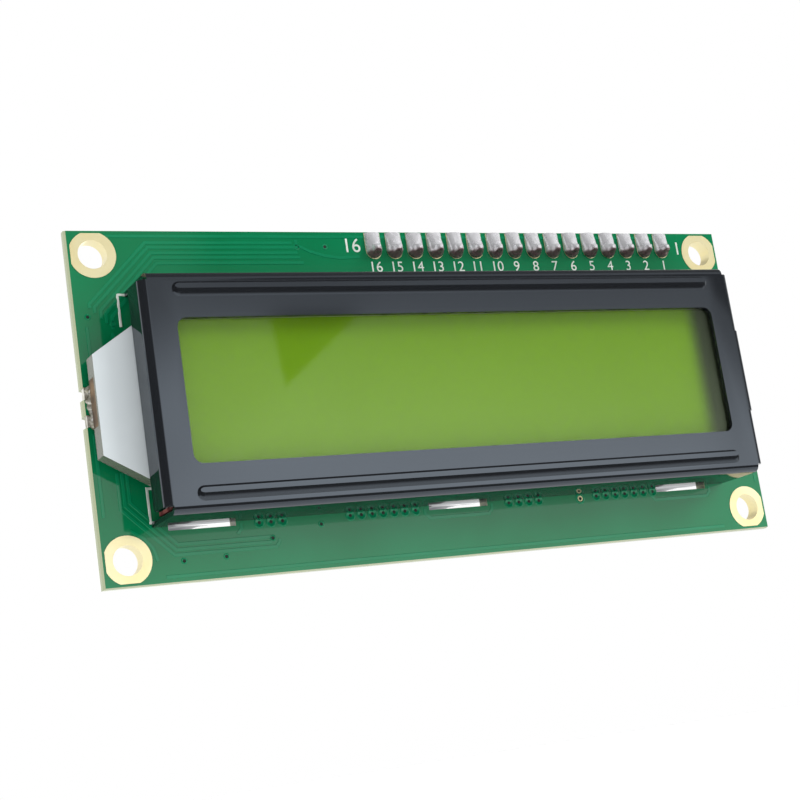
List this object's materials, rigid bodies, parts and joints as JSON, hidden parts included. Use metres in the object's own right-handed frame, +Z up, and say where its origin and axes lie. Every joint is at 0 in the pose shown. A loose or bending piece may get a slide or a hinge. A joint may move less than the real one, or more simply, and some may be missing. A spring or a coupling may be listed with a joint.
{
  "type": "character lcd module",
  "caption": "Character LCD module: edge-lit yellow-green display in a black pressed frame on a green circuit board with corner holes and a pin header.",
  "frame": {"origin": "centre of the four mounting holes, on the front face of the circuit board", "axes": "+X along the board to the header's first pin, +Z up the board to the header's row; the display faces -Y and the header's pins point along +Y"},
  "size_m": [0.0802, 0.0176, 0.0362],
  "materials": {
    "green_laminate": "glossy solder mask on glass-fibre laminate",
    "gold_plating": "gold plated copper",
    "gold_plated_wire": "gold plated brass wire",
    "tinned_wire": "tinned",
    "solder": "bright solder",
    "black_nylon": "moulded, slightly rough",
    "black_painted_steel": "gloss black paint",
    "polarizer_film": "smooth film",
    "display_glass": "clear",
    "seal_glue": "matt",
    "white_film": "satin",
    "clear_acrylic": "clear, moulded",
    "lamp_resin": "cast epoxy",
    "elastomer": "matt silicone",
    "black_epoxy": "cast epoxy, soft shine",
    "resistor_black": "glazed ceramic",
    "capacitor_tan": "fired ceramic"
  },
  "bodies": {
    "root": {"backlight_lamp": "lamp_resin", "cell_seal": "seal_glue", "chip_capacitor_1": "capacitor_tan", "chip_capacitor_2": "capacitor_tan", "chip_resistor_1": "resistor_black", "chip_resistor_2": "resistor_black", "chip_resistor_3": "resistor_black", "chip_resistor_4": "resistor_black", "chip_resistor_5": "resistor_black", "chip_resistor_6": "resistor_black", "circuit_board": "green_laminate", "controller_blob": "black_epoxy", "cover_film": "white_film", "diffuser_sheet": "white_film", "driver_blob": "black_epoxy", "frame": "black_painted_steel", "front_glass": "display_glass", "front_polarizer": "polarizer_film", "header_housing": "black_nylon", "header_pads": "gold_plating", "header_pin_01": "gold_plated_wire", "header_pin_02": "gold_plated_wire", "header_pin_03": "gold_plated_wire", "header_pin_04": "gold_plated_wire", "header_pin_05": "gold_plated_wire", "header_pin_06": "gold_plated_wire", "header_pin_07": "gold_plated_wire", "header_pin_08": "gold_plated_wire", "header_pin_09": "gold_plated_wire", "header_pin_10": "gold_plated_wire", "header_pin_11": "gold_plated_wire", "header_pin_12": "gold_plated_wire", "header_pin_13": "gold_plated_wire", "header_pin_14": "gold_plated_wire", "header_pin_15": "gold_plated_wire", "header_pin_16": "gold_plated_wire", "header_solder": "solder", "lamp_lead_1": "tinned_wire", "lamp_lead_2": "tinned_wire", "lamp_solder_1": "solder", "lamp_solder_2": "solder", "light_guide": "clear_acrylic", "lower_board_contacts": "gold_plating", "lower_elastomer_strip": "elastomer", "mounting_ring_1": "gold_plating", "mounting_ring_2": "gold_plating", "mounting_ring_3": "gold_plating", "mounting_ring_4": "gold_plating", "rear_glass": "display_glass", "rear_polarizer": "polarizer_film", "reflector_sheet": "white_film", "upper_board_contacts": "gold_plating", "upper_elastomer_strip": "elastomer"}
  },
  "joints": []
}
